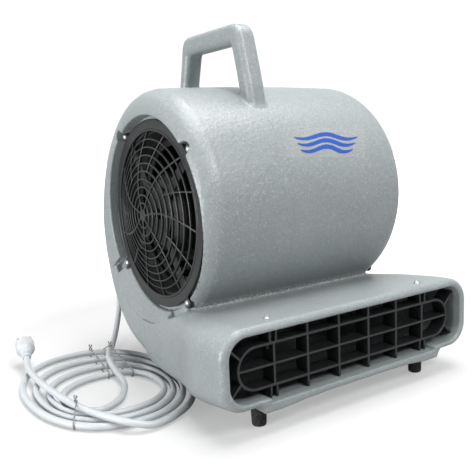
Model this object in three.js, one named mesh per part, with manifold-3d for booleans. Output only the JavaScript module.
// Portable centrifugal air mover (carpet dryer) with its coiled cord.
// Millimetres, +Z up. Origin: on the floor, in the middle of the space that the machine and its
// cord take up together. The air outlet faces -Y (front), the fan shaft lies along X, left is -X.
// The pieces are drawn about the floor point directly below the middle of the fan shaft,
// and that point is placed at (SHIFT_X, SHIFT_Y).
import * as THREE from 'three';
import { mergeVertices } from 'three/addons/utils/BufferGeometryUtils.js';
import Module from 'manifold-3d';

const wasm = await Module();
wasm.setup();

// ---------------------------------------------------------------- driving dimensions
const SHIFT_X = 75.8;
const SHIFT_Y = -2.465;
const FAN_Z = 256.8;                 // height of the fan axis, which crosses y = 0
const DRUM_Y = 11.5;                 // centre of the drum's front and top arc
const DRUM_Z = 268.1;
const DRUM_R = 170.1;
const DRUM_HALF_W = 184;
const DRUM_EDGE_R = 28;              // rounding between drum and side face
const WALL = 6;
const RIM_R = 142;                   // intake recess
const SEAT_X = 166;                  // floor of the intake recess
const SEAT_T = 5;
const EYE_R = 121;                   // intake hole in the recess floor
const INTAKE_SCREW_R = 143;          // radius of the intake screw circle
const INTAKE_SCREW_ANGLES = [52, 139, 235, 322];   // degrees from +Y towards +Z
const SCREW_HOLE_R = 2.8;
const SMALL_HOLE_R = 2;              // switch plate screws
const OUTSIDE_X = -200;              // cutters for the left side start here, clear of the drum
const OUTLET_Y = -240.4;             // plane of the outlet lip
const OUTLET_HALF_W = 219.5;
const OUTLET_SCREW_X = 136;
const OUTLET_SCREW_Y = -217;
const SIDES = [['left', -1], ['right', 1]];
const FEET = [                       // name, x, y, top of the foot
  ['front_left', -145, -205, 27.3], ['front_right', 145, -205, 27.3],
  ['rear_left', -115, 62, 23.7], ['rear_right', 115, 62, 23.7],
];

// ---------------------------------------------------------------- numbers and outlines
const D2R = Math.PI / 180;
const polar = (r, deg) => [r * Math.cos(deg * D2R), r * Math.sin(deg * D2R)];
const spaced = (from, to, n) =>      // n + 1 values, ends included
  Array.from({ length: n + 1 }, (_, i) => from + (to - from) * i / n);

// Linear interpolation in rows of [key, value] with the key falling; held level past the ends.
function lookUp(table, key) {
  if (key >= table[0][0]) return table[0][1];
  for (let i = 1; i < table.length; i++) {
    if (key >= table[i][0]) {
      const [key0, value0] = table[i - 1];
      const [key1, value1] = table[i];
      return value0 + (value1 - value0) * (key - key0) / (key1 - key0);
    }
  }
  return table[table.length - 1][1];
}

const vectors = points => points.map(([a, b]) => new THREE.Vector2(a, b));
const shapeOf = points => new THREE.Shape(vectors(points));
const circlePoints = (r, n, a = 0, b = 0) =>
  Array.from({ length: n }, (_, i) => {
    const angle = 2 * Math.PI * i / n;
    return [a + r * Math.cos(angle), b + r * Math.sin(angle)];
  });

// ---------------------------------------------------------------- meshes and solids
function strip(geometry) {           // positions and index only, coincident vertices merged
  const bare = geometry.clone();
  bare.deleteAttribute('normal');
  bare.deleteAttribute('uv');
  bare.clearGroups();
  return mergeVertices(bare, 1e-4);
}

function flipFaces(geometry) {
  const index = geometry.index.array;
  for (let i = 0; i < index.length; i += 3) {
    [index[i], index[i + 1]] = [index[i + 1], index[i]];
  }
  return geometry;
}

function faceOutwards(geometry) {    // a negative enclosed volume means the faces point in
  const bare = strip(geometry);
  const index = bare.index.array;
  const corners = [0, 1, 2].map(() => new THREE.Vector3());
  let volume = 0;
  for (let i = 0; i < index.length; i += 3) {
    corners.forEach((v, k) => v.fromBufferAttribute(bare.attributes.position, index[i + k]));
    volume += corners[0].dot(corners[1].cross(corners[2]));
  }
  return volume < 0 ? flipFaces(bare) : bare;
}

function moveVertices(geometry, move) {   // move(x, y, z) gives the new [x, y, z]
  const p = geometry.attributes.position;
  for (let i = 0; i < p.count; i++) p.setXYZ(i, ...move(p.getX(i), p.getY(i), p.getZ(i)));
  return geometry;
}

function toSolid(shape) {            // a geometry becomes a solid; a solid passes through
  if (!shape.isBufferGeometry) return shape;
  const bare = strip(shape);
  return new wasm.Manifold(new wasm.Mesh({
    numProp: 3,
    vertProperties: new Float32Array(bare.attributes.position.array),
    triVerts: new Uint32Array(bare.index.array),
  }));
}

function toGeometry(solid) {
  const { numProp, vertProperties, triVerts } = solid.getMesh();
  const count = vertProperties.length / numProp;
  const positions = new Float32Array(count * 3);
  for (let i = 0; i < count; i++) {
    for (let j = 0; j < 3; j++) positions[3 * i + j] = vertProperties[numProp * i + j];
  }
  const geometry = new THREE.BufferGeometry();
  geometry.setAttribute('position', new THREE.BufferAttribute(positions, 3));
  geometry.setIndex(new THREE.BufferAttribute(new Uint32Array(triVerts), 1));
  return geometry;
}

// These three take geometries or solids and return a solid.
const fuse = (first, ...rest) => rest.reduce((sum, g) => sum.add(toSolid(g)), toSolid(first));
const carve = (first, ...rest) =>
  rest.reduce((left, g) => left.subtract(toSolid(g)), toSolid(first));
const overlap = (a, b) => toSolid(a).intersect(toSolid(b));

const largestPiece = solid => solid.decompose().sort((a, b) => b.volume() - a.volume())[0];
const mirrorX = geometry => flipFaces(moveVertices(strip(geometry), (x, y, z) => [-x, y, z]));
const withMirror = geometries => geometries.flatMap(g => [g, mirrorX(g)]);

// ---------------------------------------------------------------- basic shapes
// local x, y, z -> world y, z, x : outlines drawn in the YZ plane
const YZX = new THREE.Matrix4().set(0, 0, 1, 0, 1, 0, 0, 0, 0, 1, 0, 0, 0, 0, 0, 1);
// local x, y, z -> world x, -z, y : outlines drawn in the XZ plane, extruded towards -Y
const XZY = new THREE.Matrix4().set(1, 0, 0, 0, 0, 0, -1, 0, 0, 1, 0, 0, 0, 0, 0, 1);

const box = (dx, dy, dz, x = 0, y = 0, z = 0) =>
  new THREE.BoxGeometry(dx, dy, dz).translate(x, y, z);
const extrudeX = (points, x0, x1, steps = 1) =>
  new THREE.ExtrudeGeometry(shapeOf(points), { depth: x1 - x0, bevelEnabled: false, steps })
    .translate(0, 0, x0).applyMatrix4(YZX);
const cylX = (r, x0, x1, seg) =>
  new THREE.CylinderGeometry(r, r, x1 - x0, seg).rotateZ(-Math.PI / 2)
    .translate((x0 + x1) / 2, 0, 0);
const cylZ = (r, z0, z1, seg) =>
  new THREE.CylinderGeometry(r, r, z1 - z0, seg).rotateX(Math.PI / 2)
    .translate(0, 0, (z0 + z1) / 2);
const latheX = (profile, seg) =>     // profile: [radius, x]
  faceOutwards(new THREE.LatheGeometry(vectors(profile), seg).rotateZ(-Math.PI / 2));
const latheZ = (profile, seg) =>     // profile: [radius, z]
  faceOutwards(new THREE.LatheGeometry(vectors(profile), seg).rotateX(Math.PI / 2));
const ringX = (ri, ro, x0, x1, seg) =>
  latheX([[ri, x0], [ro, x0], [ro, x1], [ri, x1], [ri, x0]], seg);

// Outline in the YZ plane, extruded to x = -half..half with rounded edges inside that width.
const bevelX = (points, half, bevel, bevelSegments) =>
  new THREE.ExtrudeGeometry(shapeOf(points), {
    depth: 2 * (half - bevel), steps: 1, bevelEnabled: true, bevelThickness: bevel,
    bevelSize: bevel, bevelOffset: -bevel, bevelSegments,
  }).translate(0, 0, -(half - bevel)).applyMatrix4(YZX);

const tube = (points, r, sides, steps) =>
  new THREE.ExtrudeGeometry(shapeOf(circlePoints(r, sides)), {
    steps,
    bevelEnabled: false,
    extrudePath: new THREE.CatmullRomCurve3(points, false, 'centripetal'),
  });

// Pan head screw whose head sits on the plane z = 0 and whose shank points to -z.
const screw = ({ shankR, length, headR, headH }) => latheZ([
  [0, -length], [shankR, -length], [shankR, 0], [headR, 0],
  [headR, headH * 0.5], [headR * 0.6, headH], [0, headH],
], 6);

const atFan = geometry => geometry.translate(0, 0, FAN_Z);
const aroundFan = (geometry, r, deg) => {
  const [y, z] = polar(r, deg);
  return geometry.translate(0, y, z + FAN_Z);
};
const atIntakeScrews = (r, x0, x1, seg) =>
  INTAKE_SCREW_ANGLES.map(a => aroundFan(cylX(r, x0, x1, seg), INTAKE_SCREW_R, a));

function frameAt(point, normal) {    // local z = normal, local y as near to up as it can be
  const n = normal.clone().normalize();
  const across = new THREE.Vector3(0, 0, 1).cross(n).normalize();
  const upwards = new THREE.Vector3().crossVectors(n, across);
  return new THREE.Matrix4().makeBasis(across, upwards, n).setPosition(point);
}

// ---------------------------------------------------------------- places on the back (+Y)
// Switch plate seat; every switch part is drawn in this frame.
const SWITCH = frameAt(new THREE.Vector3(0, 188.1, 290.0), new THREE.Vector3(0, 0.947, 0.321));
const PLATE_SCREWS = [[-31, -26], [31, -26], [-31, 26], [31, 26]];   // in the switch frame
const ENTRY_POINT = new THREE.Vector3(-120, 190.4, 155.8);
const ENTRY_AXIS = new THREE.Vector3(0, 0.958, -0.284);
const ENTRY = frameAt(ENTRY_POINT, ENTRY_AXIS);

const plateScrewHoles = (z0, z1) =>
  PLATE_SCREWS.map(([x, y]) => cylZ(SMALL_HOLE_R, z0, z1, 8).translate(x, y, 0));

// ---------------------------------------------------------------- drum
// Spiral round the back, about the fan axis: [degrees from +Y towards +Z, radius]
const SPIRAL = [
  [-92, 237.5], [-82, 237], [-72, 237], [-60, 238], [-48, 232], [-35, 221], [-20, 210],
  [-5, 201], [10, 191], [25, 185], [40, 181.5], [55, 181], [70, 182], [80, 182.3],
];
const SCROLL_FLOOR_Z = 20;
const SCROLL_FLOOR_END_Y = -20;
const spiralCurve = new THREE.SplineCurve(vectors(SPIRAL.map(([deg, r]) => {
  const [y, z] = polar(r, deg);
  return [y, z + FAN_Z];
})));

const onDrum = (outwards, deg) => {
  const [y, z] = polar(DRUM_R + outwards, deg);
  return [DRUM_Y + y, DRUM_Z + z];
};

// Drum arc over the top and front, a flat floor, then the spiral up the back: [y, z]
function scrollOutline(inset) {
  const arc = spaced(92, 240, 16).map(deg => onDrum(-inset, deg));
  const floorZ = SCROLL_FLOOR_Z + inset;
  const points = [...arc, [arc[arc.length - 1][0], floorZ], [SCROLL_FLOOR_END_Y, floorZ]];
  const n = 22;
  const spiral = spiralCurve.getSpacedPoints(n);
  for (let i = 2; i < n; i++) {
    const along = spiral[i + 1].clone().sub(spiral[i - 1]).normalize();
    points.push([spiral[i].x - along.y * inset, spiral[i].y + along.x * inset]);
  }
  return points;
}

// The drum gets smaller towards its ends, shrinking about (y, z) in the YZ plane.
const DRAFT = {
  amount: 0.018,
  y: 5,
  z: 262,
  startZ: 60,                        // heights are unchanged below this
  blendZ: 100,                       // and reach the full draft this much higher
};
const draft = geometry => moveVertices(geometry, (x, y, z) => {
  const shrink = DRAFT.amount * (x / DRUM_HALF_W) ** 2;
  const blend = THREE.MathUtils.clamp((z - DRAFT.startZ) / DRAFT.blendZ, 0, 1);
  return [
    x,
    DRAFT.y + (y - DRAFT.y) * (1 - shrink),
    DRAFT.z + (z - DRAFT.z) * (1 - shrink * blend),
  ];
});

const drumBody = (inset, edgeR, edgeSegments) =>
  draft(bevelX(scrollOutline(inset), DRUM_HALF_W - inset, edgeR, edgeSegments));

// ---------------------------------------------------------------- base and air duct
// Rounded rectangle in XZ, drawn at one reference size.
function roundedSection({ halfW, bottom, top, r }) {
  return new THREE.Shape()
    .moveTo(-halfW + r, bottom)
    .lineTo(halfW - r, bottom)
    .absarc(halfW - r, bottom + r, r, -Math.PI / 2, 0)
    .lineTo(halfW, top - r)
    .absarc(halfW - r, top - r, r, 0, Math.PI / 2)
    .lineTo(-halfW + r, top)
    .absarc(-halfW + r, top - r, r, Math.PI / 2, Math.PI)
    .lineTo(-halfW, bottom + r)
    .absarc(-halfW + r, bottom + r, r, Math.PI, 1.5 * Math.PI);
}

// Extrudes the reference section from y = back to y = front, then fits it to the stations.
function sectionLoft({ section, stations, back, front, steps, curveSegments, bevel = 0 }) {
  const { halfW, bottom, top, r } = section;
  const loft = new THREE.ExtrudeGeometry(roundedSection(section), {
    depth: back - front - bevel, steps, curveSegments, bevelEnabled: bevel > 0,
    bevelThickness: bevel, bevelSize: bevel, bevelOffset: -bevel, bevelSegments: 1,
  }).translate(0, 0, -back).applyMatrix4(XZY);
  return moveVertices(loft, (x, y, z) => {
    const low = z < (bottom + top) / 2;
    const cornerR = lookUp(low ? stations.bottomR : stations.topR, y);
    const across = (Math.abs(x) - (halfW - r)) / r;
    const outwards = low ? (bottom + r - z) / r : (z - (top - r)) / r;
    return [
      Math.sign(x) * (lookUp(stations.halfW, y) - cornerR + cornerR * across),
      y,
      low
        ? lookUp(stations.bottom, y) + cornerR - cornerR * outwards
        : lookUp(stations.top, y) - cornerR + cornerR * outwards,
    ];
  });
}

// Stations from back to front: [y, value]
const BASE_STATIONS = {
  halfW: [
    [42, 181], [-34, 187], [-80, 191], [-100, 196], [-126, 206], [-158, 215],
    [-200, 218.5], [OUTLET_Y, OUTLET_HALF_W],
  ],
  bottom: [
    [42, 23], [3, 19.5], [-34, 19.5], [-120, 23], [-165, 30], [-215, 37], [OUTLET_Y, 38.7],
  ],
  top: [
    [42, 120], [-60, 126], [-90, 129], [-140, 134.5], [-200, 140], [-225, 142],
    [OUTLET_Y, 141.5],
  ],
  bottomR: [[42, 14], [-34, 15], [-120, 20], [-200, 27], [OUTLET_Y, 34]],
  topR: [[42, 20], [-100, 28], [-160, 34], [OUTLET_Y, 36]],
};
const DUCT_STATIONS = {
  halfW: [
    [42, 174], [-34, 181], [-80, 185], [-100, 190], [-126, 200], [-158, 206],
    [-200, 207], [-250, 206.5],
  ],
  bottom: [
    [42, 28], [3, 26], [-34, 26], [-120, 30], [-165, 37], [-215, 46], [-250, 48.5],
  ],
  top: [[42, 113], [-60, 119], [-90, 122], [-140, 126], [-200, 129.8], [-250, 130.7]],
  bottomR: [[42, 16], [-120, 20], [-250, 26]],
  topR: [[42, 16], [-120, 22], [-250, 26]],
};

const baseBody = () => sectionLoft({
  section: { halfW: OUTLET_HALF_W, bottom: 38.7, top: 142, r: 36 },
  stations: BASE_STATIONS, back: 40, front: OUTLET_Y, steps: 6, curveSegments: 4, bevel: 7,
});

// Air space of the base, shrunk all round by gap, with a channel along its floor at the front.
function ductSpace(gap) {
  const shifted = (table, by) => table.map(([y, value]) => [y, value + by]);
  const front = OUTLET_Y - 8;
  const channel = { halfW: 148, length: 132, bottom: 41, height: 30 };
  const duct = sectionLoft({
    section: { halfW: 206.5, bottom: 48.5, top: 130.7, r: 26 },
    stations: {
      ...DUCT_STATIONS,
      halfW: shifted(DUCT_STATIONS.halfW, -gap),
      bottom: shifted(DUCT_STATIONS.bottom, gap),
      top: shifted(DUCT_STATIONS.top, -gap),
    },
    back: 36, front, steps: 5, curveSegments: 3,
  });
  return fuse(duct, box(
    2 * (channel.halfW - gap), channel.length, channel.height,
    0, front + channel.length / 2, channel.bottom + gap + channel.height / 2,
  ));
}

// Low block under the front of the base: [x, z]
const SILL_OUTLINE = [
  [-162, 60], [-162, 39.2], [-156.5, 27.6], [-128, 27.6], [-90, 30.4], [-49, 31.7],
  [60, 31.7], [100, 30.4], [128, 27.6], [156.5, 27.6], [162, 39.2], [162, 60],
];
const sill = () => new THREE.ExtrudeGeometry(shapeOf(SILL_OUTLINE), {
  depth: 62, bevelEnabled: true, bevelThickness: 4, bevelSize: 4, bevelOffset: -4,
  bevelSegments: 1,
}).translate(0, 0, 173.6).applyMatrix4(XZY);

// ---------------------------------------------------------------- carrying handle
const HANDLE_X = -44.7;              // middle plane
const HANDLE_W = 28;
function handle() {                  // outer edge front to back, then inner edge back to front
  const path = new THREE.Path()
    .moveTo(-92, 392)
    .lineTo(-85, 434)
    .lineTo(-77, 465)
    .lineTo(-67.5, 500)
    .quadraticCurveTo(-62, 521, -44, 521.3)
    .lineTo(78, 520.5)
    .quadraticCurveTo(95, 520, 98.5, 502)
    .lineTo(104, 478)
    .lineTo(111, 451)
    .lineTo(124, 400)
    .lineTo(100, 396)
    .lineTo(93, 451)
    .lineTo(82, 488)
    .quadraticCurveTo(80, 495, 73, 495.2)
    .lineTo(-38, 496.2)
    .quadraticCurveTo(-44.5, 496, -46.5, 489)
    .lineTo(-54, 462)
    .lineTo(-61, 432)
    .lineTo(-69, 388);
  const points = path.getPoints(3).map(p => [p.x, p.y]);
  return bevelX(points, HANDLE_W / 2, 7, 2).translate(HANDLE_X, 0, 0);
}

// ---------------------------------------------------------------- intake recess (left side)
// Outer edge of the scoop: [degrees from +Y towards +Z, radius]
const SCOOP = [
  [252.5, 147], [260, 154.5], [268, 160.5], [276, 165.5], [287, 172], [297, 176],
  [305, 178.5], [313, 180.5], [320, 181.5], [326.5, 181.5],
];
const SCOOP_INNER_R = 131;

// Wedge between the recess and the drum's edge; grow widens it, lift deepens it.
function scoop(grow, lift) {
  const last = SCOOP.length - 1;
  const innerX = -(SEAT_X + 2.5 - lift);
  const outerX = -(DRUM_HALF_W - 1.5 - lift);
  const positions = SCOOP.flatMap(([deg, radius], i) => {
    const endShift = i === 0 ? -grow / 3 : i === last ? grow / 3 : 0;
    const section = [
      [SCOOP_INNER_R, innerX], [radius + grow, outerX],
      [radius + grow, OUTSIDE_X], [SCOOP_INNER_R, OUTSIDE_X],
    ];
    return section.flatMap(([r, x]) => {
      const [y, z] = polar(r, deg + endShift);
      return [x, y, z + FAN_Z];
    });
  });
  const index = [];
  for (let i = 0; i < last; i++) {
    for (let j = 0; j < 4; j++) {
      const a = 4 * i + j;
      const b = 4 * i + (j + 1) % 4;
      index.push(a, b, b + 4, a, b + 4, a + 4);
    }
  }
  const end = 4 * last;
  index.push(0, 3, 2, 0, 2, 1);
  index.push(end, end + 1, end + 2, end, end + 2, end + 3);
  const geometry = new THREE.BufferGeometry();
  geometry.setAttribute('position', new THREE.Float32BufferAttribute(positions, 3));
  geometry.setIndex(index);
  return faceOutwards(geometry);
}

// Short part of a ring about the fan axis, from the outside in to x1
const sector = (r0, r1, deg0, deg1, x1) => {
  const angles = spaced(deg0, deg1, 2);
  const outer = angles.map(a => polar(r1, a));
  const inner = angles.map(a => polar(r0, a)).reverse();
  return atFan(extrudeX([...outer, ...inner], OUTSIDE_X, x1));
};

const recessCuts = () => [
  atFan(cylX(EYE_R, OUTSIDE_X, -120, 36)),
  atFan(cylX(RIM_R, OUTSIDE_X, -SEAT_X, 36)),
  scoop(0, 0),
  sector(136, 152, 230, 253, -(DRUM_HALF_W - 11)),
  ...atIntakeScrews(9.9, OUTSIDE_X, -SEAT_X, 12),
  ...atIntakeScrews(SCREW_HOLE_R, -180, -150, 6),
];
// The same features grown by a wall; kept out of the cavity so that they stay solid.
const recessWalls = () => [
  atFan(cylX(RIM_R + WALL, OUTSIDE_X, -(SEAT_X - SEAT_T), 28)),
  scoop(7, 5.5),
  sector(120, 158, 224, 258, -(DRUM_HALF_W - 17)),
  ...atIntakeScrews(15, OUTSIDE_X, -(SEAT_X - SEAT_T), 6),
];

// ---------------------------------------------------------------- housing
function housing() {
  const rearPads = FEET.filter(([name]) => name.startsWith('rear'))
    .map(([, x, y]) => cylZ(15, 24, 60, 14).translate(x, y, 0));
  const outside = fuse(
    drumBody(0, DRUM_EDGE_R, 3), baseBody(), sill(), handle(), ...rearPads,
  );
  const cavity = fuse(
    carve(drumBody(WALL, DRUM_EDGE_R - WALL, 1), ...withMirror(recessWalls())),
    ductSpace(0),
  );
  const footHoles = FEET.map(([, x, y]) => cylZ(SCREW_HOLE_R, 5, 62, 8).translate(x, y, 0));
  const outletScrewHoles = SIDES.flatMap(([, side]) => [
    cylZ(SCREW_HOLE_R, 120, 150, 8),
    cylZ(5.4, 140.4, 150, 12),       // seat for the head
  ].map(g => g.translate(side * OUTLET_SCREW_X, OUTLET_SCREW_Y, 0)));
  const switchCuts = [
    box(76, 66, 20, 0, 0, 5.5),      // flat seat for the plate
    box(44, 40, 40, 0, 0, -10),      // opening for the switch body
    ...plateScrewHoles(-20, 4),
  ].map(g => g.applyMatrix4(SWITCH));
  return toGeometry(largestPiece(carve(
    outside, cavity, ...withMirror(recessCuts()), ...footHoles, ...outletScrewHoles,
    ...switchCuts, cylZ(8.7, -25, 25, 14).applyMatrix4(ENTRY),
  )));
}

// ---------------------------------------------------------------- intake guard (left side)
const GUARD = {
  hubR: 8,
  rings: [18.2, 29.5, 40.7, 52, 63.2, 74.5, 85.7, 97, 108.2],
  openR: 119.5,                      // outer edge of the open area
  outerR: 136.5,
  x: 169,                            // back face of the flat rim, distance from the middle
  thickness: 3.6,
  dome: 20.5,                        // bulge at the centre
  barHalfW: 1.15,
  startDeg: 187.5,
  denseR: 63,                        // from this radius outwards there are twice the arms
};
// Swept arms: [radius, sweep in degrees]
const ARM = [[119.5, 0], [97, -4.3], [73, -9.4], [49, -14.2], [32, -16.8], [17, -15.8], [8, -13]];
// Lug round each screw: [degrees from the screw, radius]
const LUG = [
  [-4.2, GUARD.outerR], [-2.9, 147], [-1.2, 150.6], [1.2, 150.6], [2.9, 147],
  [4.2, GUARD.outerR],
];

function guardOutline() {
  const rim = spaced(0, 350, 35)
    .filter(deg => !INTAKE_SCREW_ANGLES.some(s => Math.abs(deg - s) < 6))
    .map(deg => [deg, GUARD.outerR]);
  const lugs = INTAKE_SCREW_ANGLES.flatMap(s => LUG.map(([deg, r]) => [s + deg, r]));
  return [...rim, ...lugs].sort((a, b) => a[0] - b[0]).map(([deg, r]) => polar(r, deg));
}

function guardCells() {              // the openings between the rings and the arms
  const edges = [GUARD.hubR, ...GUARD.rings, GUARD.openR];
  const cells = [];
  for (let k = 0; k < edges.length - 1; k++) {
    const r0 = edges[k] + (k === 0 ? 0 : GUARD.barHalfW);
    const r1 = edges[k + 1] - (k === edges.length - 2 ? 0 : GUARD.barHalfW);
    const dense = edges[k] >= GUARD.denseR;
    const arms = dense ? 14 : 7;
    const segments = dense ? 1 : 2;
    const pitch = 360 / arms;
    for (let j = 0; j < arms; j++) {
      const edge = r => {
        const margin = Math.asin(GUARD.barHalfW / r) / D2R;
        const from = GUARD.startDeg + pitch * j + lookUp(ARM, r) + margin;
        return spaced(from, from + pitch - 2 * margin, segments).map(deg => polar(r, deg));
      };
      cells.push([...edge(r0), ...edge(r1).reverse()]);
    }
  }
  return cells;
}

function intakeGuard() {
  const screwHoles = INTAKE_SCREW_ANGLES
    .map(deg => circlePoints(SCREW_HOLE_R, 8, ...polar(INTAKE_SCREW_R, deg)));
  const shape = shapeOf(guardOutline());
  for (const hole of [...guardCells(), ...screwHoles]) {
    shape.holes.push(new THREE.Path(vectors(hole)));
  }
  const flat = new THREE.ExtrudeGeometry(shape, {
    depth: GUARD.thickness, bevelEnabled: false, steps: 1,
  }).translate(0, 0, -GUARD.x - GUARD.thickness).applyMatrix4(YZX);
  return atFan(moveVertices(flat, (x, y, z) => {
    const r = Math.hypot(y, z);
    const bulge = r < GUARD.openR ? GUARD.dome * (1 - (r / GUARD.openR) ** 2) : 0;
    return [x - bulge, y, z];
  }));
}

// ---------------------------------------------------------------- outlet grille
const GRILLE = {
  z: 85, y: -228.3, depth: 24,       // y is its front face
  halfW: 189.9, halfH: 28.8,         // outside of the oblong ring
  ringT: 3.4,
  barT: 3.2, barPitch: 53.7, bars: 6,
};

function oblong(halfW, r) {          // straight top and bottom, half-round ends
  return new THREE.Path()
    .moveTo(-(halfW - r), -r)
    .lineTo(halfW - r, -r)
    .absarc(halfW - r, 0, r, -Math.PI / 2, Math.PI / 2)
    .lineTo(-(halfW - r), r)
    .absarc(-(halfW - r), 0, r, Math.PI / 2, 1.5 * Math.PI)
    .getPoints(6);
}

function outletGrille() {
  const { z, y, depth, halfW, halfH, ringT, barT, barPitch, bars } = GRILLE;
  const middleY = y + depth / 2;
  const shape = new THREE.Shape(oblong(halfW, halfH));
  shape.holes.push(new THREE.Path(oblong(halfW - ringT, halfH - ringT)));
  const ring = new THREE.ExtrudeGeometry(shape, { depth, bevelEnabled: false })
    .translate(0, z, -(y + depth)).applyMatrix4(XZY);
  const parts = [ring, box(2 * halfW - ringT, depth, 3, 0, middleY, z)];
  const quadrants = [[-1, -1], [-1, 1], [1, -1], [1, 1]];   // side in X, side in Z
  for (let i = 0; i < bars; i++) {
    const x = (i - (bars - 1) / 2) * barPitch;
    if (i > 0 && i < bars - 1) {
      parts.push(box(barT, depth, 112, x, middleY, z));
      continue;
    }
    // An end bar stops at the ring; a splayed pair goes on above and below it.
    parts.push(box(barT, depth, 2 * halfH - 2, x, middleY, z));
    for (const [sideX, sideZ] of quadrants) {
      parts.push(box(2.8, depth, 34).rotateY(sideX * sideZ * 0.05).translate(
        x + sideX * 5.2 + Math.sign(x) * 1.2, middleY, z + sideZ * (halfH + 15.5),
      ));
    }
  }
  for (const [sideX, sideZ] of quadrants) {          // diagonal bars at the corners
    parts.push(box(44, depth, 3).rotateY(-sideX * sideZ * Math.PI / 4)
      .translate(sideX * 198, middleY, z + sideZ * 29));
  }
  const atScrews = (r, z0, z1, seg) => SIDES.map(([, side]) =>
    cylZ(r, z0, z1, seg).translate(side * OUTLET_SCREW_X, OUTLET_SCREW_Y, 0));
  const drilled = carve(fuse(...parts, ...atScrews(5, 115.5, 140, 10)),
    ...atScrews(2.6, 100, 145, 8));
  return toGeometry(largestPiece(overlap(drilled, ductSpace(0.5))));
}

// ---------------------------------------------------------------- blower wheel and hub
const WHEEL = { innerR: 98, outerR: 121, halfW: 135, endT: 3, blades: 24 };
const BLADE = [[99.5, -0.5], [119.6, 4.6], [119.3, 5.5], [99.5, 0.6]];   // [radius, degrees]
const SHAFT_R = 6;
const SHAFT_BORE_R = 6.3;            // every hole round the shaft inside a piece it carries
const SET_SCREW_X = 10.2;

function blowerWheel() {
  const { innerR, outerR, halfW, endT, blades } = WHEEL;
  const disc = (ri, x0, x1) => atFan(ringX(ri, outerR, x0, x1, 24));
  const bladeHalfW = halfW - endT / 2;
  const bladeSolids = Array.from({ length: blades }, (_, i) => {
    const points = BLADE.map(([r, deg]) => polar(r, 360 / blades * i + deg));
    return atFan(extrudeX(points, -bladeHalfW, bladeHalfW));
  });
  return toGeometry(fuse(
    disc(innerR, -halfW, -halfW + endT), disc(innerR, halfW - endT, halfW),
    disc(22.4, -1.5, 1.5), ...bladeSolids,
  ));
}

const wheelHub = () => toGeometry(carve(
  fuse(atFan(cylX(18, -12, 15, 16)), atFan(cylX(30, 1.9, 5, 20))),
  atFan(cylX(SHAFT_BORE_R, -20, 30, 16)),
  cylZ(2.6, 0, 40, 8).translate(SET_SCREW_X, 0, FAN_Z),
));
const hubSetScrew = () => cylZ(2.2, 6.4, 17.5, 8).translate(SET_SCREW_X, 0, FAN_Z);

// ---------------------------------------------------------------- motor
const MOTOR_R = 57;
const BELL_INNER_R = 50;
const BEARING_R = 14.8;
const BEARING_SEAT_R = 15.4;
const BRACKET_SCREW_YS = [-28, 28];
const bracketScrewHoles = (x0, x1) =>
  BRACKET_SCREW_YS.map(y => cylX(2.4, x0, x1, 8).translate(0, y, FAN_Z));

const bellOuter = () => toGeometry(carve(
  atFan(cylX(MOTOR_R, -166, -146, 24)),
  atFan(cylX(BEARING_SEAT_R, -160, -140, 16)),
  atFan(cylX(BELL_INNER_R, -152, -140, 20)),
  ...bracketScrewHoles(-170, -161),
));
const bellInner = () => toGeometry(carve(
  atFan(cylX(MOTOR_R, -72, -58, 24)),
  atFan(cylX(BEARING_SEAT_R, -80, -61, 16)),
  atFan(cylX(7.4, -70, -50, 12)),
  atFan(cylX(BELL_INNER_R, -80, -67, 20)),
));
const bearing = (x0, x1) => atFan(ringX(SHAFT_BORE_R, BEARING_R, x0, x1, 16));

// Centre plate with an arm out to each intake screw
function motorBracket() {
  const x0 = -168.7;
  const x1 = -166.3;
  const armStart = 20;
  const arms = INTAKE_SCREW_ANGLES.map(deg => atFan(box(
    x1 - x0, INTAKE_SCREW_R - armStart, 16,
    (x0 + x1) / 2, (INTAKE_SCREW_R + armStart) / 2, 0,
  ).rotateX(deg * D2R)));
  return toGeometry(carve(
    fuse(atFan(cylX(40, x0, x1, 14)), ...arms, ...atIntakeScrews(8, x0, x1, 8)),
    ...atIntakeScrews(SCREW_HOLE_R, -175, -160, 6), ...bracketScrewHoles(-175, -160),
  ));
}

// ---------------------------------------------------------------- inlet ring (left side)
const INLET_PROFILE = [              // [radius, x]
  [108.6, -138.6], [110.4, -138.6], [119.6, -159.2], [148, -159.2], [148, -160.7],
  [118.4, -160.7], [108.6, -138.6],
];
const inletRing = () => toGeometry(overlap(
  carve(atFan(latheX(INLET_PROFILE, 26)), ...atIntakeScrews(SCREW_HOLE_R, -175, -150, 6)),
  drumBody(WALL + 1, DRUM_EDGE_R - WALL, 1),
));

// ---------------------------------------------------------------- switch and cord entry
const KNOB_BORE_R = 3.35;
const switchPlate = () => toGeometry(carve(
  box(74, 64, 1.6, 0, 0, -3.4), cylZ(5.5, -10, 10, 16), ...plateScrewHoles(-10, 10),
)).applyMatrix4(SWITCH);
const switchBody = () => toGeometry(carve(
  fuse(box(34, 32, 22, 0, 0, -18.5), cylZ(5.1, -10, 0.4, 16)),
  cylZ(KNOB_BORE_R, -16, 5, 16),
)).applyMatrix4(SWITCH);
const switchNut = () =>
  toGeometry(carve(cylZ(8.6, -2.3, 0.1, 6), cylZ(5.4, -5, 5, 16))).applyMatrix4(SWITCH);
const switchShaft = () => cylZ(3, -15, 13, 16).applyMatrix4(SWITCH);
const speedKnob = () => toGeometry(carve(
  fuse(
    latheZ([[0, 0.8], [17.5, 0.8], [18, 2.4], [16.6, 7.2], [0, 7.2]], 24),
    box(8, 31, 11, 0, 0, 11),
  ),
  cylZ(KNOB_BORE_R, -1, 13.4, 16),
)).applyMatrix4(SWITCH);
const strainRelief = () => latheZ([
  [5.8, -9], [8.4, -9], [8.4, 0.5], [12, 0.5], [12, 3.8], [9, 4.2], [7.8, 22], [5.8, 22],
  [5.8, -9],
], 16).applyMatrix4(ENTRY);

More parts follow.
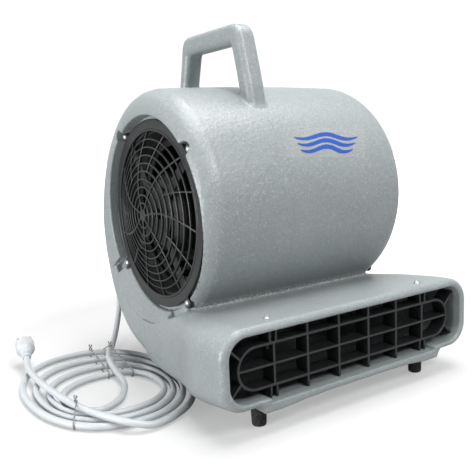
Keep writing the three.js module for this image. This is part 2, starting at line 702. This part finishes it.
// ---------------------------------------------------------------- run capacitor
const CAPACITOR_DEG = -36;
const atCapacitor = geometry => aroundFan(geometry, 178, CAPACITOR_DEG);
const capacitor = () => atCapacitor(cylX(17.5, 60, 122, 16));
function capacitorClip() {           // band round the can and a foot out to the housing wall
  const band = atCapacitor(ringX(17.9, 19.6, 82, 100, 16));
  const foot = atCapacitor(box(18, 16, 12, 91, 24.5, 0).rotateX(CAPACITOR_DEG * D2R));
  const clip = fuse(band, carve(foot, atCapacitor(cylX(18.5, 70, 110, 16))));
  return toGeometry(overlap(clip, draft(extrudeX(scrollOutline(WALL + 1), -170, 170, 4))));
}

// ---------------------------------------------------------------- cord, coiled on the floor
const CORD_R = 4.8;
const CORD_Z = 6.8;                  // strands on the floor
const OVER_Z = 17.0;                 // strands that cross over others
const ENTRY_RUN = [-12, 0, 13, 24, 31];   // distances along the entry axis
const CORD_DOWN = [                  // from the entry down to the coil: [x, y, z]
  [-126, 237.5, 131], [-136, 240, 100], [-148, 222, 66], [-164, 200, 40], [-186, 168, 22],
  [-207, 136, OVER_Z], [-220, 100, OVER_Z], [-226, 62, 12], [-229, 28, 7.2],
  [-240, 0, CORD_Z], [-262, -32, CORD_Z],
];
const CORD_END = [                   // from the coil, over it, to the plug: [x, y, z]
  [-258, -137, 8.2], [-282, -130, 14], [-302, -104, OVER_Z + 0.3], [-318, -62, OVER_Z + 0.3],
  [-328, -18, OVER_Z + 0.2], [-335, 40, OVER_Z + 0.2], [-338, 98, OVER_Z + 0.3],
  [-336, 146, 19.5], [-331.2, 171.0, 23.0], [-329, 180.2, 25.2],
];

function coilPoint(deg) {            // squarish oval that grows with every turn
  const turns = (-115 - deg) / 360;
  const soften = v => Math.sign(v) * Math.abs(v) ** 0.9;
  const [cos, sin] = polar(1, deg);
  return [
    -258.5 + (65 + 13.4 * turns) * soften(cos),
    10.5 * turns + (55 + 30 * turns) * soften(sin),
    CORD_Z,
  ];
}

function powerCord() {
  const entry = ENTRY_RUN.map(d => ENTRY_POINT.clone().addScaledVector(ENTRY_AXIS, d));
  const coil = spaced(-122, -1502, 69).map(coilPoint);
  const rest = [...CORD_DOWN, ...coil, ...CORD_END].map(p => new THREE.Vector3(...p));
  return tube([...entry, ...rest], CORD_R, 6, 128);
}

const PLUG = frameAt(
  new THREE.Vector3(-328.8, 180.9, 25.4), new THREE.Vector3(0.22, 0.945, 0.24),
);
const plugBody = () => latheZ([
  [0, 0.3], [6.2, 0.3], [6.2, 6], [8.5, 9], [9.5, 20], [15, 26], [15, 44], [14, 45.5],
  [0, 45.5],
], 14).applyMatrix4(PLUG);
const plugPin = side => latheZ([[0, 45.8], [2.4, 45.8], [2.4, 62], [1.6, 64], [0, 64]], 8)
  .translate(side * 9.5, 0, 0).applyMatrix4(PLUG);

const TIES = [                       // floor points A and B, height of the top wire
  { a: [-300, 16], b: [-352, -92], top: 23.6 },
  { a: [-240, 40], b: [-214, 222], top: 23.6 },
  { a: [-205, 20], b: [-196, 206], top: 13 },
];
function cordTie({ a, b, top }) {    // wire loop round the strands between A and B
  const start = new THREE.Vector2(...a);
  const end = new THREE.Vector2(...b);
  const direction = end.clone().sub(start).normalize();
  const length = start.distanceTo(end);
  const path = [                     // [distance from A towards B, z]
    [0.35 * length, top + 3], [0.3 * length, top], [3, top], [-4, top - 4], [-5.5, 6],
    [-3.5, 1.35], [4, 1.0], [length / 2, 1.0], [length - 4, 1.0], [length + 3.5, 1.35],
    [length + 5.5, 6], [length + 4, top - 4], [length - 3, top], [0.42 * length, top],
    [0.38 * length, top + 4],
  ];
  return tube(path.map(([along, z]) => {
    const { x, y } = start.clone().addScaledVector(direction, along);
    return new THREE.Vector3(x, y, z);
  }), 0.8, 4, 30);
}

// ---------------------------------------------------------------- label on the drum's front
function drumLabel() {
  const angles = spaced(144.2, 158.2, 6);
  const back = angles.map(deg => onDrum(0.35, deg));
  const face = angles.map(deg => onDrum(0.75, deg)).reverse();
  return draft(extrudeX([...back, ...face], -34, 114, 5));
}

// ---------------------------------------------------------------- materials
const material = (color, { roughness, metalness = 0 }) =>
  new THREE.MeshStandardMaterial({ color, roughness, metalness });
const MATERIALS = {
  shell: material(0xa9afaf, { roughness: 0.55 }),
  black: material(0x35383a, { roughness: 0.5 }),
  steel: material(0xb9bdc0, { roughness: 0.35, metalness: 0.9 }),
  zinc: material(0x9da0a0, { roughness: 0.45, metalness: 0.85 }),
  rubber: material(0x151515, { roughness: 0.85 }),
  cord: material(0xd5d8da, { roughness: 0.5 }),
  winding: material(0x9a5a2c, { roughness: 0.5, metalness: 0.4 }),
  motor: material(0x4a4d50, { roughness: 0.5, metalness: 0.4 }),
  knob: material(0x202224, { roughness: 0.45 }),
  label: material(0xd9dcd8, { roughness: 0.25 }),
  wheel: material(0x2d3032, { roughness: 0.55 }),
  capacitor: material(0xc8ccd0, { roughness: 0.4, metalness: 0.3 }),
  brass: material(0xc9a658, { roughness: 0.35, metalness: 0.9 }),
};

// ---------------------------------------------------------------- the assembly
const group = new THREE.Group();
const machine = new THREE.Group();
machine.position.set(SHIFT_X, SHIFT_Y, 0);
group.add(machine);

function put(name, geometry, materialName) {
  const mesh = new THREE.Mesh(faceOutwards(geometry), MATERIALS[materialName]);
  mesh.name = name;
  machine.add(mesh);
  return mesh;
}

put('housing', housing(), 'shell');

const guard = intakeGuard();
put('intake_grille_left', guard, 'black');
put('intake_grille_right', mirrorX(guard), 'black');
INTAKE_SCREW_ANGLES.forEach((deg, i) => {
  for (const [sideName, side] of SIDES) {
    const head = screw({ shankR: 2.2, length: 17, headR: 4.6, headH: 3 });
    const mesh = put(`intake_screw_${sideName}_${i + 1}`, head, 'steel');
    const [y, z] = polar(INTAKE_SCREW_R, deg);
    mesh.position.set(side * (GUARD.x + GUARD.thickness + 0.3), y, z + FAN_Z);
    mesh.rotation.set(0, side * Math.PI / 2, 0);
  }
});

put('outlet_grille', outletGrille(), 'black');
for (const [sideName, side] of SIDES) {
  const geometry = screw({ shankR: 2.1, length: 24, headR: 4.6, headH: 2.8 });
  put(`outlet_screw_${sideName}`, geometry, 'steel')
    .position.set(side * OUTLET_SCREW_X, OUTLET_SCREW_Y, 140.7);
}

for (const [name, x, y, top] of FEET) {
  const foot = latheZ([
    [2.8, top], [11.5, top], [9.5, 0], [5.6, 0], [5.6, 8.3], [2.8, 8.3], [2.8, top],
  ], 12);
  put(`foot_${name}`, foot, 'rubber').position.set(x, y, 0);
  const geometry = screw({ shankR: 2.2, length: 26, headR: 4.6, headH: 3 });
  const mesh = put(`foot_screw_${name}`, geometry, 'steel');
  mesh.position.set(x, y, 8.0);
  mesh.rotation.set(Math.PI, 0, 0);
}

put('blower_wheel', blowerWheel(), 'wheel');
put('wheel_hub', wheelHub(), 'zinc');
put('hub_set_screw', hubSetScrew(), 'steel');
put('motor_shaft', atFan(cylX(SHAFT_R, -158, 18, 16)), 'steel');
put('motor_rotor', atFan(ringX(SHAFT_BORE_R, 32.3, -135, -87, 20)), 'zinc');
put('motor_casing', atFan(ringX(54, MOTOR_R, -145.7, -72.3, 24)), 'motor');
put('motor_end_bell_outer', bellOuter(), 'motor');
put('motor_end_bell_inner', bellInner(), 'motor');
put('motor_stator', atFan(ringX(33.2, 53.0, -136, -86, 20)), 'winding');
put('motor_bearing_outer', bearing(-159.5, -150), 'steel');
put('motor_bearing_inner', bearing(-70.5, -61.4), 'steel');
put('motor_bracket', motorBracket(), 'motor');
BRACKET_SCREW_YS.forEach((y, i) => {
  const geometry = screw({ shankR: 2, length: 6, headR: 4.2, headH: 2.6 });
  const mesh = put(`bracket_screw_${i + 1}`, geometry, 'steel');
  mesh.position.set(-169, y, FAN_Z);
  mesh.rotation.set(0, -Math.PI / 2, 0);
});

const inlet = inletRing();
put('inlet_ring_left', inlet, 'black');
put('inlet_ring_right', mirrorX(inlet), 'black');
put('run_capacitor', capacitor(), 'capacitor');
put('capacitor_clip', capacitorClip(), 'zinc');

put('switch_plate', switchPlate(), 'knob');
put('speed_switch', switchBody(), 'black');
put('switch_nut', switchNut(), 'steel');
put('switch_shaft', switchShaft(), 'steel');
put('speed_knob', speedKnob(), 'knob');
PLATE_SCREWS.forEach(([x, y], i) => {
  const geometry = screw({ shankR: 1.6, length: 5, headR: 3.2, headH: 2 });
  put(`plate_screw_${i + 1}`, geometry.translate(x, y, -2.3).applyMatrix4(SWITCH), 'steel');
});

put('strain_relief', strainRelief(), 'black');
put('power_cord', powerCord(), 'cord');
put('plug_body', plugBody(), 'cord');
put('plug_pin_1', plugPin(-1), 'brass');
put('plug_pin_2', plugPin(1), 'brass');
TIES.forEach((tie, i) => put(`cord_tie_${i + 1}`, cordTie(tie), 'steel'));
put('drum_label', drumLabel(), 'label');

export default group;
